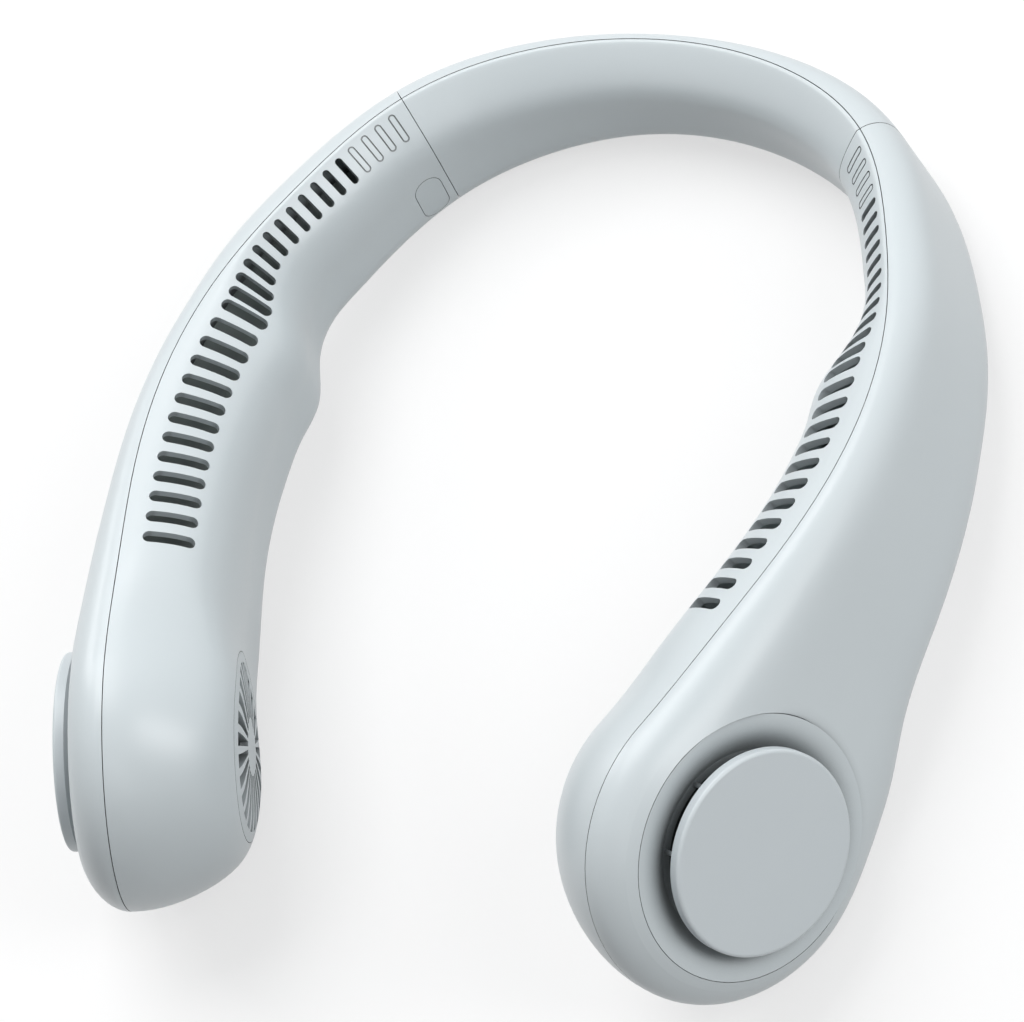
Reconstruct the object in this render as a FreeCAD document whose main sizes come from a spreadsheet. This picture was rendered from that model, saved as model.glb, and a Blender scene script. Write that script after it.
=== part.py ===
import FreeCAD, Part
import math
import os
import re

import Sketcher
from FreeCAD import Placement, Rotation, Vector

# Electric neck fan: two hollow arms on a rear band, a centrifugal fan in the head of each arm.
# The arms follow one crest line, the top parting line of the half shells, seen in plan.
# X is to the wearer's side, Y runs from the open front to the rear band, Z is up.

doc = FreeCAD.newDocument("neck_fan")
sheet = doc.addObject("Spreadsheet::Sheet", "sizes")

# Driving dimensions in millimetres, angles in degrees and counts.
# Seven stations along the crest carry the section: depth, bulge to each side, outward lean.
SIZES = {
    "crest_half_width": 85.6,
    "crest_length": 177.7,
    "toe_in_angle": 21,
    "rear_depth": 30.0,
    "rear_outer": 3.8,
    "rear_inner": 9.8,
    "rear_lean_angle": 5.8,
    "seam_depth": 35.4,
    "seam_outer": 6.6,
    "seam_inner": 10.4,
    "seam_lean_angle": 7.4,
    "waist_depth": 38.9,
    "waist_outer": 7.6,
    "waist_inner": 11.5,
    "waist_lean_angle": 9.6,
    "step_depth": 41.6,
    "step_outer": 6.5,
    "step_inner": 21.9,
    "step_lean_angle": 9.6,
    "middle_depth": 50.2,
    "middle_outer": 7.5,
    "middle_inner": 22.3,
    "middle_lean_angle": 11.7,
    "wrist_depth": 64.4,
    "wrist_outer": 9.5,
    "wrist_inner": 23.1,
    "wrist_lean_angle": 14.0,
    "head_depth": 71.0,
    "head_outer": 10.4,
    "head_inner": 27.4,
    "head_lean_angle": 15.8,
    "wall": 1.8,
    "parting_gap": 0.2,
    "seat_gap": 0.15,
    "loose_gap": 0.4,
    "run_gap": 0.02,
    "cut_overrun": 3.0,
    "section_spacing": 11.0,
    "slot_setback": 31.8,
    "front_slot_pitch": 5.62,
    "front_slot_count": 12,
    "rear_slot_pitch": 4.1,
    "rear_slot_count": 12,
    "blind_slot_count": 4,
    "blind_slot_depth": 0.25,
    "blind_line_width": 0.35,
    "dish_radius": 28.5,
    "dish_roll_width": 8.4,
    "dish_land_width": 1.7,
    "dish_drop": 3.2,
    "dish_thickness": 1.6,
    "dish_rim": 2.6,
    "throat_length": 2.0,
    "ledge_width": 2.4,
    "ledge_thickness": 1.5,
    "ledge_root": 2.2,
    "cap_overhang": 1.9,
    "cap_thickness": 3.3,
    "cap_rise": 4.6,
    "cap_edge": 0.8,
    "post_radius": 0.5,
    "post_count": 8,
    "grille_radius": 21.0,
    "grille_hub_radius": 6.5,
    "grille_rim": 2.2,
    "grille_slot_count": 24,
    "boss_circle_radius": 23.0,
    "boss_radius": 2.2,
    "bracket_level": 8.2,
    "bracket_thickness": 1.6,
    "bracket_hub_radius": 8.5,
    "bracket_arm_width": 4.4,
    "bracket_arm_count": 3,
    "screw_radius": 0.9,
    "screw_head_radius": 1.7,
    "screw_head_height": 1.2,
    "screw_length": 3.4,
    "shaft_radius": 1.0,
    "bearing_radius": 2.5,
    "bearing_width": 2.3,
    "bearing_spacing": 4.7,
    "tube_wall": 1.1,
    "stator_radius": 8.0,
    "stator_yoke": 1.4,
    "stator_height": 5.4,
    "tooth_count": 9,
    "tooth_width": 1.8,
    "tooth_tip": 1.0,
    "tooth_tip_width": 4.0,
    "air_gap": 0.5,
    "magnet_thickness": 1.5,
    "bell_thickness": 1.0,
    "bell_height": 8.4,
    "wheel_radius": 23.0,
    "wheel_inlet_radius": 16.5,
    "wheel_gap": 1.0,
    "wheel_plate": 1.3,
    "wheel_ring_width": 2.4,
    "blade_thickness": 1.1,
    "blade_sweep_angle": 30,
    "blade_count": 18,
    "blade_bend_radius": 14.0,
    "duct_plate_thickness": 1.2,
    "duct_plate_margin": 30.0,
    "plate_gap": 1.0,
    "battery_radius": 8.0,
    "battery_length": 50.0,
    "battery_cap_radius": 2.6,
    "battery_cap_height": 1.2,
    "battery_offset": 9.2,
    "lead_radius": 1.0,
    "sleeve_length": 12.0,
    "sleeve_thickness": 1.0,
    "button_width": 6.9,
    "button_height": 13.0,
    "button_setback": 6.3,
    "button_drop": 16.6,
    "button_depth": 2.4,
    "button_flange": 1.0,
    "button_flange_thickness": 0.8,
    "switch_width": 4.5,
    "switch_height": 2.2,
    "switch_plunger_radius": 0.9,
    "switch_plunger_height": 1.15,
    "board_length": 23.0,
    "board_width": 15.2,
    "board_thickness": 1.2,
    "board_setback": 3.0,
    "port_width": 8.94,
    "port_thickness": 3.26,
    "port_length": 7.3,
    "port_setback": 20.0,
    "port_shell": 0.4,
    "port_recess": 0.5,
    "tongue_thickness": 0.7,
    "tongue_width": 6.6,
}

for row, (alias, value) in enumerate(SIZES.items(), start=1):
    sheet.set(f"A{row}", alias)
    sheet.set(f"B{row}", str(value))
    sheet.setAlias(f"B{row}", alias)
doc.recompute()


def size(name):
    return float(getattr(sheet, name))


def value_of(expression):
    return float(sheet.evalExpression(expression))


# Crest line in plan, from the rear of the band to the head, as shares of half width and length.
CREST_SHARES = (
    (0, 1), (0.362, 0.972), (0.683, 0.878), (0.859, 0.737), (0.973, 0.581),
    (1, 0.439), (0.952, 0.283), (0.862, 0.139), (0.765, 0),
)
STATIONS = ("rear", "seam", "waist", "step", "middle", "wrist", "head")
STATION_SHARES = (0, 0.279, 0.476, 0.571, 0.764, 0.883, 1)

# Slot strip on the neck side of each station: near edge, far edge and top of the side face,
# as shares of the inner bulge and of the depth.
STRIP_SHARES = {
    "rear": ((0.18, 0.02), (0.74, 0.18), (1, 0.40)),
    "seam": ((0.17, 0.016), (0.71, 0.149), (1, 0.34)),
    "waist": ((0.157, 0.013), (0.666, 0.128), (1, 0.36)),
    "step": ((0.214, 0.006), (0.714, 0.112), (1, 0.36)),
    "middle": ((0.212, 0.001), (0.712, 0.078), (1, 0.34)),
    "wrist": ((0.204, -0.002), (0.69, 0.051), (1, 0.295)),
    "head": ((0.45, 0.035), (0.85, 0.13), (1, 0.32)),
}
# Outer half of the section, and the lower neck side that all stations share.
OUTER_SHARES = (
    (0, 0), (0.60, 0.045), (0.92, 0.14), (1, 0.32), (1, 0.5),
    (1, 0.68), (0.92, 0.86), (0.60, 0.955), (0, 1),
)
LOWER_SHARES = ((1, 0.5), (1, 0.68), (0.85, 0.87), (0.45, 0.965), (0, 1))
STEP_SHARES = (0, 0.10, 0.20, 0.35, 0.5, 0.65, 0.80, 0.90, 1)
HALF = 0.5


def smooth_curve(points, steps, first, last):
    """A spline through the points at the given steps, leaving along first and arriving along last."""
    first_speed = (points[1] - points[0]).Length / (steps[1] - steps[0])
    last_speed = (points[-1] - points[-2]).Length / (steps[-1] - steps[-2])
    curve = Part.BSplineCurve()
    curve.interpolate(Points=points, Parameters=list(steps), InitialTangent=first * first_speed,
                      FinalTangent=last * last_speed, Scale=False)
    return curve


def crest_curve():
    points = [Vector(across * size("crest_half_width"), along * size("crest_length"), 0)
              for across, along in CREST_SHARES]
    steps = [0]
    for before, after in zip(points, points[1:]):
        steps.append(steps[-1] + (after - before).Length)
    toe_in = math.radians(size("toe_in_angle"))
    forward = Vector(-math.sin(toe_in), -math.cos(toe_in), 0)
    return smooth_curve(points, steps, Vector(1, 0, 0), forward)


crest = crest_curve()
crest_edge = crest.toShape()
CREST_REACH = crest_edge.Length
STATION_PLACES = [share * CREST_REACH for share in STATION_SHARES]
SEAM = STATION_PLACES[STATIONS.index("seam")]


def between(values, place):
    """The value at a place on the crest, eased from station to station without overshoot."""
    rises = [(values[i + 1] - values[i]) / (STATION_PLACES[i + 1] - STATION_PLACES[i])
             for i in range(len(values) - 1)]
    slopes = [0]
    for before, after in zip(rises, rises[1:]):
        slopes.append(2 * before * after / (before + after) if before * after > 0 else 0)
    slopes.append(0)
    i = max(k for k in range(len(rises)) if k == 0 or STATION_PLACES[k] <= place)
    span = STATION_PLACES[i + 1] - STATION_PLACES[i]
    part = (place - STATION_PLACES[i]) / span
    ease = part * part * (3 - 2 * part)
    bend = part * (1 - part) * ((1 - part) * slopes[i] - part * slopes[i + 1])
    return values[i] + ease * (values[i + 1] - values[i]) + span * bend


class Section:
    """The arm's section at one place on the crest; places before the rear lie on the left side."""

    def __init__(self, place):
        side = math.copysign(1, place)
        place = abs(place)
        step = crest_edge.getParameterByLength(place)
        crest_point = crest.value(step)
        ahead = crest.tangent(step)[0]
        self.origin = Vector(side * crest_point.x, crest_point.y, 0)
        self.along = Vector(ahead.x, side * ahead.y, 0)
        flat_out = Vector(-self.along.y, self.along.x, 0)
        lean = math.radians(self.eased("lean_angle", place))
        up = Vector(0, 0, 1)
        self.out = flat_out * math.cos(lean) + up * math.sin(lean)
        self.up = up * math.cos(lean) - flat_out * math.sin(lean)
        self.depth = self.eased("depth", place)
        self.outer = self.eased("outer", place)
        self.inner = self.eased("inner", place)
        strip_rows = [STRIP_SHARES[name] for name in STATIONS]
        self.strip = [
            (between([row[k][0] for row in strip_rows], place) * self.inner,
             between([row[k][1] for row in strip_rows], place) * self.depth)
            for k in range(len(strip_rows[0]))]

    def eased(self, name, place):
        return between([size(f"{station}_{name}") for station in STATIONS], place)

    def at(self, out, down, along=0):
        return self.origin + self.out * out - self.up * down + self.along * along

    def half_curve(self, sign, gap):
        """The skin from crest to keel on the outer side, or on the neck side with sign -1."""
        if sign > 0:
            corners = [(a * self.outer, b * self.depth) for a, b in OUTER_SHARES]
        else:
            corners = [(0, 0)] + self.strip + [(a * self.inner, b * self.depth) for a, b in LOWER_SHARES]
        points = [self.at(sign * max(out, gap), down) for out, down in corners]
        return smooth_curve(points, STEP_SHARES, self.out * sign, self.out * -sign)

    def inset_curve(self, sign, inset):
        """The same half skin moved inward by a wall."""
        skin = self.half_curve(sign, 0)
        points = []
        for step in STEP_SHARES:
            inward = skin.tangent(step)[0].cross(self.along) * sign
            points.append(skin.value(step) + inward * inset)
        return smooth_curve(points, STEP_SHARES, self.out * sign, self.out * -sign)

    def half_wire(self, sign, gap):
        skin = self.half_curve(sign, gap)
        edge = skin.toShape()
        closing = Part.makeLine(skin.value(1), skin.value(0))
        return Part.Wire([edge, closing])

    def full_wire(self, inset):
        outside = self.inset_curve(1, inset)
        neck_side = self.inset_curve(-1, inset)
        neck_side.reverse()
        return Part.Wire([outside.toShape(), neck_side.toShape()])

    def oval_wire(self, inset):
        """An oval passage down the section, clear of the skin by an inset."""
        middle_out = (self.outer - self.inner) * HALF
        middle_down = self.depth * HALF
        middle = self.at(middle_out, middle_down)
        top = self.at(middle_out, inset)
        side = self.at(self.outer - inset, middle_down)
        return Part.Wire([Part.Ellipse(top, side, middle).toShape()])


def places_between(first, last):
    count = max(2, round((last - first) / size("section_spacing")))
    return [first + (last - first) * i / count for i in range(count + 1)]


HEAD = Section(CREST_REACH)
HEAD_CENTRE = HEAD.at(0, HEAD.depth * HALF)
HALF_TURN = 180
STEP_TOLERANCE = 1e-6
LEAD_IN = 2 * size("section_spacing")


def dome(edges, corners):
    """A half turn of the upper head profile about the fan axis."""
    lines = [Part.makeLine(a, b) for a, b in zip(corners, corners[1:])]
    face = Part.Face(Part.Wire(Part.__sortEdges__(edges + lines)))
    return face.revolve(HEAD_CENTRE, HEAD.out, HALF_TURN)


def upper_half(curve):
    """The part of a head curve between crest and fan axis."""
    trimmed = curve.copy()
    trimmed.segment(0, HALF)
    return trimmed


def seam_block(section):
    """A block over the lead-in of an arm, up to the plane of a section."""
    wide = 2 * (section.inner + section.outer)
    corners = [section.at(-wide, -section.depth), section.at(wide, -section.depth),
               section.at(wide, 2 * section.depth), section.at(-wide, 2 * section.depth)]
    return Part.Face(Part.makePolygon(corners + corners[:1])).extrude(section.along * -2 * LEAD_IN)


def arm_half(sign):
    """Solid half of the arm from the seam to the end of the head, lofted from before the seam."""
    gap = size("parting_gap") * HALF
    arm_places = places_between(SEAM - LEAD_IN, CREST_REACH - size("wall"))
    sections = [Section(place) for place in arm_places] + [HEAD]
    arm = Part.makeLoft([section.half_wire(sign, gap) for section in sections], True)
    arm = arm.cut(seam_block(Section(SEAM + gap)))
    skin = upper_half(HEAD.half_curve(sign, gap))
    foot = HEAD_CENTRE + HEAD.out * sign * gap
    end = dome([skin.toShape()], [skin.value(HALF), foot, skin.value(0)])
    return arm.fuse(end).removeSplitter()


def arm_hollow(inset, first):
    """The space inside the arm, inset from its skin."""
    arm_places = places_between(first, CREST_REACH - size("wall"))
    sections = [Section(place) for place in arm_places] + [HEAD]
    hollow = Part.makeLoft([section.full_wire(inset) for section in sections], True)
    outside = upper_half(HEAD.inset_curve(1, inset))
    neck_side = upper_half(HEAD.inset_curve(-1, inset))
    end = dome([outside.toShape(), neck_side.toShape()], [outside.value(HALF), neck_side.value(HALF)])
    return hollow.fuse(end)


def skin_level(radius):
    """Height of the head's outer skin over the parting plane at a radius from the fan axis."""
    skin = HEAD.half_curve(1, 0)
    near, far = 0, HALF
    while far - near > STEP_TOLERANCE:
        middle = (near + far) * HALF
        if (skin.value(middle) - HEAD_CENTRE).dot(HEAD.up) > radius:
            near = middle
        else:
            far = middle
    return (skin.value(near) - HEAD_CENTRE).dot(HEAD.out)


def head_cylinder(radius, low, high):
    """A cylinder on the fan axis between two heights over the parting plane."""
    return Part.makeCylinder(radius, high - low, HEAD_CENTRE + HEAD.out * low, HEAD.out)


def head_ring(inner_radius, outer_radius, low, high):
    return head_cylinder(outer_radius, low, high).cut(head_cylinder(inner_radius, low, high))


def add_shape(label, shape):
    piece = doc.addObject("Part::Feature", label)
    piece.Label = label
    piece.Shape = shape
    return piece


def slot_tool(section, width, floor, inset=0):
    """A round-ended cutter over the slot strip of a section, from above the skin down to the floor."""
    near = section.at(-section.strip[0][0], section.strip[0][1])
    far = section.at(-section.strip[1][0], section.strip[1][1])
    run = far - near
    run.normalize()
    side = section.along
    outward = run.cross(side)
    if outward.dot(section.up) < 0:
        outward = outward * -1
    near = near + run * (width * HALF)
    far = far - run * (width * HALF)
    radius = width * HALF - inset
    base = outward * -floor
    corners = [point + side * (radius * sign) + base for point, sign in
               ((near, 1), (far, 1), (far, -1), (near, -1))]
    tip = far + run * radius + base
    tail = near - run * radius + base
    outline = Part.Wire([
        Part.makeLine(corners[0], corners[1]),
        Part.Arc(corners[1], tip, corners[2]).toShape(),
        Part.makeLine(corners[2], corners[3]),
        Part.Arc(corners[3], tail, corners[0]).toShape()])
    return Part.Face(outline).extrude(outward * (floor + size("cut_overrun")))


SLOT_WIDTH_SHARE = 0.25
GRILLE_SLOT_SHARE = 0.62


def slot_tools():
    """The row of air slots from the head to the seam, the last few of them only a groove line."""
    tools = []
    place = CREST_REACH - size("slot_setback")
    front = int(size("front_slot_count"))
    rear = int(size("rear_slot_count"))
    blind = int(size("blind_slot_count"))
    for number in range(front + rear + blind):
        section = Section(place)
        (near_out, near_down), (far_out, far_down) = section.strip[:2]
        width = SLOT_WIDTH_SHARE * math.hypot(far_out - near_out, far_down - near_down)
        if number < front + rear:
            tools.append(slot_tool(section, width, 2 * size("wall")))
        else:
            island = slot_tool(section, width, size("wall"), size("blind_line_width"))
            tools.append(slot_tool(section, width, size("blind_slot_depth")).cut(island))
        place -= size("front_slot_pitch") if number < front else size("rear_slot_pitch")
    return tools


# Right arm half shells: solid halves, hollowed, then opened for dish, grille and slots.
overrun = size("cut_overrun")
wall = size("wall")
seat_gap = size("seat_gap")
hollow = arm_hollow(wall, SEAM - LEAD_IN - overrun)
RIM_LEVEL = skin_level(size("dish_radius"))
DISH_SEAT = RIM_LEVEL - size("dish_rim")
INNER_FACE = -HEAD.inner


def hollowed(solid, space):
    """A solid half without the space inside; a cut that leaves most of it is refused."""
    shell = solid.cut(space)
    if shell.Volume > HALF * solid.Volume:
        raise RuntimeError("half shell is not hollow")
    return shell


def make_outer_cover():
    solid = arm_half(1)
    inner_edge = size("dish_radius") - size("ledge_width")
    seat = head_ring(inner_edge, size("dish_radius") + size("ledge_root"),
                     DISH_SEAT - size("ledge_thickness"), HEAD.outer)
    opening = head_cylinder(size("dish_radius"), DISH_SEAT, HEAD.outer + overrun)
    throat = head_cylinder(inner_edge, 0, HEAD.outer + overrun)
    shell = hollowed(solid, hollow).fuse(seat.common(solid))
    return shell.cut(opening).cut(throat).removeSplitter()


inner_solid = arm_half(-1)
inner_shell = hollowed(inner_solid, hollow)


def boss_places():
    count = int(size("bracket_arm_count"))
    for number in range(count):
        turn = 2 * math.pi * number / count
        yield HEAD.up * math.cos(turn) + HEAD.along * math.sin(turn)


def make_inner_cover():
    """Neck side shell with a stepped seat for the domed grille, screw bosses and the slot row."""
    first = CREST_REACH - size("grille_radius") - 2 * LEAD_IN
    seat_space = arm_hollow(wall + seat_gap, first)
    core = arm_hollow(wall + seat_gap + size("ledge_thickness"), first)
    low = INNER_FACE - overrun
    opening = size("grille_radius") - size("ledge_width")
    rim = head_ring(opening, size("grille_radius") + size("ledge_root"), low, 0)
    rim = rim.common(inner_solid).cut(core)
    bosses = []
    bores = []
    rooms = []
    boss_height = size("bracket_level") + overrun
    for outward in boss_places():
        foot = HEAD_CENTRE + HEAD.out * low + outward * size("boss_circle_radius")
        boss = Part.makeCylinder(size("boss_radius"), boss_height, foot, HEAD.out)
        bosses.append(boss.common(inner_solid))
        bore_foot = foot + HEAD.out * (boss_height - size("screw_length") + size("bracket_thickness"))
        bores.append(Part.makeCylinder(size("screw_radius"), size("screw_length"), bore_foot, HEAD.out))
        tab_foot = foot + HEAD.out * boss_height
        tab_room = size("bracket_arm_width") * HALF + seat_gap
        room_height = size("bracket_thickness") + size("screw_head_height") + seat_gap
        rooms.append(Part.makeCylinder(tab_room, room_height, tab_foot, HEAD.out))
    pocket = head_cylinder(size("grille_radius") + seat_gap, low, 0).cut(seat_space)
    cover = inner_shell.fuse([rim] + bosses).cut(pocket).cut(head_cylinder(opening, low, 0))
    cover = cover.cut(Part.makeCompound(rooms))
    return cover.cut(Part.makeCompound(bores + slot_tools())).removeSplitter()


def make_grille():
    insert = inner_shell.common(head_cylinder(size("grille_radius"), INNER_FACE - overrun, 0))
    count = int(size("grille_slot_count"))
    pitch = 2 * math.pi / count
    tools = []
    for number in range(count):
        corners = []
        for radius in (size("grille_hub_radius"), size("grille_radius") - size("grille_rim")):
            half = pitch * GRILLE_SLOT_SHARE * HALF
            ends = []
            for turn in (number * pitch - half, number * pitch + half):
                spoke = HEAD.up * math.cos(turn) + HEAD.along * math.sin(turn)
                ends.append(HEAD_CENTRE + HEAD.out * (INNER_FACE - overrun) + spoke * radius)
            corners.append(ends)
        (a, b), (c, d) = corners
        tools.append(Part.Face(Part.makePolygon([a, b, d, c, a])).extrude(HEAD.out * HEAD.inner))
    return insert.cut(Part.makeCompound(tools)).removeSplitter()


right_outer_cover = add_shape("right_outer_cover", make_outer_cover())
right_inner_cover = add_shape("right_inner_cover", make_inner_cover())
right_inner_grille = add_shape("right_inner_grille", make_grille())


# Rear band: two half shells between the seams.
def band_half(sign):
    gap = size("parting_gap") * HALF
    reach = SEAM - gap
    sections = [Section(place) for place in places_between(-reach, reach)]
    band = Part.makeLoft([section.half_wire(sign, gap) for section in sections], True)
    open_reach = SEAM + overrun
    inside = [Section(place) for place in places_between(-open_reach, open_reach)]
    return hollowed(band, Part.makeLoft([section.full_wire(wall) for section in inside], True))


rear_outer_cover = add_shape("rear_outer_cover", band_half(1))
rear_inner_cover = add_shape("rear_inner_cover", band_half(-1))

doc.recompute()


# Heights on the fan axis count from the neck face of the head, so that they are all positive.
def note(alias, value):
    """A level that follows from the skin, kept beside the driving sizes."""
    row = len(SIZES) + 1 + len(notes)
    notes.append(alias)
    sheet.set(f"A{row}", alias)
    sheet.set(f"B{row}", str(value))
    sheet.setAlias(f"B{row}", alias)


notes = []
note("rim_level", RIM_LEVEL - INNER_FACE)
doc.recompute()
HEAD_FRAME = Placement(HEAD_CENTRE + HEAD.out * INNER_FACE, Rotation(HEAD.up, HEAD.along, HEAD.out, "ZXY"))

# Levels of the fan, as expressions in the sheet's sizes.
BRACKET_TOP = "bracket_level + bracket_thickness"
TUBE_RADIUS = "bearing_radius + run_gap + tube_wall"
TUBE_TOP = f"{BRACKET_TOP} + bearing_spacing + bearing_width"
ROTOR_BASE = f"{BRACKET_TOP} + air_gap"
BELL_TOP = f"{ROTOR_BASE} + bell_height"
MAGNET_BORE = "stator_radius + air_gap"
BELL_BORE = f"{MAGNET_BORE} + magnet_thickness"
BELL_RADIUS = f"{BELL_BORE} + bell_thickness"
WHEEL_BASE = f"{BRACKET_TOP} + screw_head_height + 2 * air_gap"
LAND_LEVEL = "rim_level - dish_drop"
LAND_RADIUS = "dish_radius - dish_roll_width"
THROAT_RADIUS = f"{LAND_RADIUS} - dish_land_width"
CAP_RADIUS = f"{LAND_RADIUS} + cap_overhang"
DISH_BEND = "((dish_roll_width - seat_gap) ^ 2 + dish_drop ^ 2) / (2 * dish_drop)"
WHEEL_TOP = f"{LAND_LEVEL} - throat_length - wheel_gap"
CAP_TOP = "rim_level + cap_rise"
CAP_UNDER = f"{CAP_TOP} - cap_thickness"
AXIS_POINT = (-1, 1)
ACROSS_AXIS = -1
UP_AXIS = -2
START, END, CENTRE = 1, 2, 3


def bound(expression):
    """The expression with each size named in the sheet; function names stay as they are."""
    return re.sub(r"[a-z_]+(?!\w*\()", lambda word: f"sizes.{word.group()}", expression)


def number(expression):
    return value_of(bound(expression))


def new_body(label):
    body = doc.addObject("PartDesign::Body", label)
    body.Label = label
    return body


def new_sketch(body, name, role, level=None):
    """A sketch on one of the body's own planes, raised to a level where one is given."""
    sketch = body.newObject("Sketcher::SketchObject", name)
    plane = next(item for item in body.Origin.OriginFeatures if item.Role == role)
    sketch.AttachmentSupport = [(plane, "")]
    sketch.MapMode = "FlatFace"
    if level:
        sketch.setExpression("AttachmentOffset.Base.z", bound(level))
    return sketch


def tie_point(sketch, geometry, point, across, up):
    """Ties a point of the sketch to two sizes, or to an axis where the size is nothing."""
    for kind, axis, expression in (("DistanceX", UP_AXIS, across), ("DistanceY", ACROSS_AXIS, up)):
        amount = number(expression)
        if amount == 0:
            sketch.addConstraint(Sketcher.Constraint("PointOnObject", geometry, point, axis))
            continue
        ends = AXIS_POINT + (geometry, point) if amount > 0 else (geometry, point) + AXIS_POINT
        index = sketch.addConstraint(Sketcher.Constraint(kind, *ends, abs(amount)))
        text = bound(expression) if amount > 0 else f"-({bound(expression)})"
        sketch.setExpression(f"Constraints[{index}]", text)


def bent_edge(start, end, radius, turn):
    """An arc between two points that bends to the left with turn 1, to the right with turn -1."""
    chord = end - start
    height = math.sqrt(radius ** 2 - (chord.Length * HALF) ** 2)
    left = Vector(-chord.y, chord.x, 0).normalize()
    centre = start + chord * HALF + left * (height * turn)
    first, last = (start, end) if turn > 0 else (end, start)
    angles = [math.atan2(point.y - centre.y, point.x - centre.x) for point in (first, last)]
    return Part.ArcOfCircle(Part.Circle(centre, Vector(0, 0, 1), radius), *angles)


def draw_outline(sketch, corners):
    """A closed outline. A corner is (across, up), or (across, up, radius, turn) before a bent edge."""
    points = [Vector(number(corner[0]), number(corner[1]), 0) for corner in corners]
    base = sketch.GeometryCount
    count = len(corners)
    ends = []
    for i, corner in enumerate(corners):
        start, end = points[i], points[(i + 1) % count]
        if len(corner) > 2:
            index = sketch.addGeometry(bent_edge(start, end, number(corner[2]), corner[3]))
            tie = sketch.addConstraint(Sketcher.Constraint("Radius", index, number(corner[2])))
            sketch.setExpression(f"Constraints[{tie}]", bound(corner[2]))
            ends.append((START, END) if corner[3] > 0 else (END, START))
        else:
            sketch.addGeometry(Part.LineSegment(start, end))
            ends.append((START, END))
    for i, corner in enumerate(corners):
        after = (i + 1) % count
        join = Sketcher.Constraint("Coincident", base + i, ends[i][1], base + after, ends[after][0])
        sketch.addConstraint(join)
        tie_point(sketch, base + i, ends[i][0], corner[0], corner[1])


def draw_circle(sketch, across, radius):
    index = sketch.addGeometry(Part.Circle(Vector(number(across), 0, 0), Vector(0, 0, 1), number(radius)))
    tie = sketch.addConstraint(Sketcher.Constraint("Radius", index, number(radius)))
    sketch.setExpression(f"Constraints[{tie}]", bound(radius))
    tie_point(sketch, index, CENTRE, across, "0")


def revolve(body, name, *outlines):
    sketch = new_sketch(body, f"{name}_outline", "XZ_Plane")
    for corners in outlines:
        draw_outline(sketch, corners)
    turn = body.newObject("PartDesign::Revolution", name)
    turn.Profile = sketch
    turn.ReferenceAxis = (sketch, ["V_Axis"])
    turn.Angle = FULL_TURN
    sketch.Visibility = False
    return turn


def extrude(body, name, kind, sketch, length):
    feature = body.newObject(kind, name)
    feature.Profile = sketch
    feature.setExpression("Length", bound(length))
    return feature


def repeat_round(body, name, features, count):
    doc.recompute()
    pattern = body.newObject("PartDesign::PolarPattern", name)
    pattern.Originals = features
    axis = next(item for item in body.Origin.OriginFeatures if item.Role == "Z_Axis")
    pattern.Axis = (axis, [""])
    pattern.Angle = FULL_TURN
    pattern.setExpression("Occurrences", bound(count))
    body.Tip = pattern
    return pattern


def cylinder(name, radius, length, level="0"):
    solid = doc.addObject("Part::Cylinder", name)
    solid.setExpression("Radius", bound(radius))
    solid.setExpression("Height", bound(length))
    solid.setExpression("Placement.Base.z", bound(level))
    return solid


def ring(name, outer_radius, bore_radius, length, level):
    solid = doc.addObject("Part::Cut", name)
    solid.Base = cylinder(f"{name}_body", outer_radius, length, level)
    solid.Tool = cylinder(f"{name}_bore", bore_radius, length, level)
    return solid


def group(label, members):
    node = doc.addObject("Part::Compound", label)
    node.Label = label
    node.Links = members
    return node


FULL_TURN = 360


# Intake dish: a ring let into the head that rolls from the skin down to a land, with a throat to the wheel.
def make_intake_dish():
    body = new_body("right_intake_dish")
    edge = "dish_radius - seat_gap"
    step = "dish_radius - ledge_width - seat_gap"
    throat = f"{THROAT_RADIUS} + dish_thickness"
    under = f"{LAND_LEVEL} - dish_thickness"
    revolve(body, "right_dish_turn", [
        (edge, "rim_level", DISH_BEND, 1),
        (LAND_RADIUS, LAND_LEVEL),
        (THROAT_RADIUS, LAND_LEVEL),
        (THROAT_RADIUS, f"{LAND_LEVEL} - throat_length"),
        (throat, f"{LAND_LEVEL} - throat_length"),
        (throat, under),
        (step, under),
        (step, "rim_level - dish_rim"),
        (edge, "rim_level - dish_rim"),
    ])
    return body


# Intake cap: a flat disc on a ring of posts that stand on the dish's land.
def make_intake_cap():
    body = new_body("right_intake_cap")
    revolve(body, "right_cap_turn", [
        ("0", CAP_TOP),
        ("0", CAP_UNDER),
        (f"{CAP_RADIUS} - cap_edge", CAP_UNDER),
        (CAP_RADIUS, f"{CAP_UNDER} + cap_edge"),
        (CAP_RADIUS, f"{CAP_TOP} - cap_edge", "cap_edge", 1),
        (f"{CAP_RADIUS} - cap_edge", CAP_TOP),
    ])
    sketch = new_sketch(body, "right_post_circle", "XY_Plane", LAND_LEVEL)
    draw_circle(sketch, f"{THROAT_RADIUS} + 2 * post_radius", "post_radius")
    height = f"{CAP_UNDER} - ({LAND_LEVEL}) + cap_edge"
    post = extrude(body, "right_post", "PartDesign::Pad", sketch, height)
    repeat_round(body, "right_posts", [post], "post_count")
    return body


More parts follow.
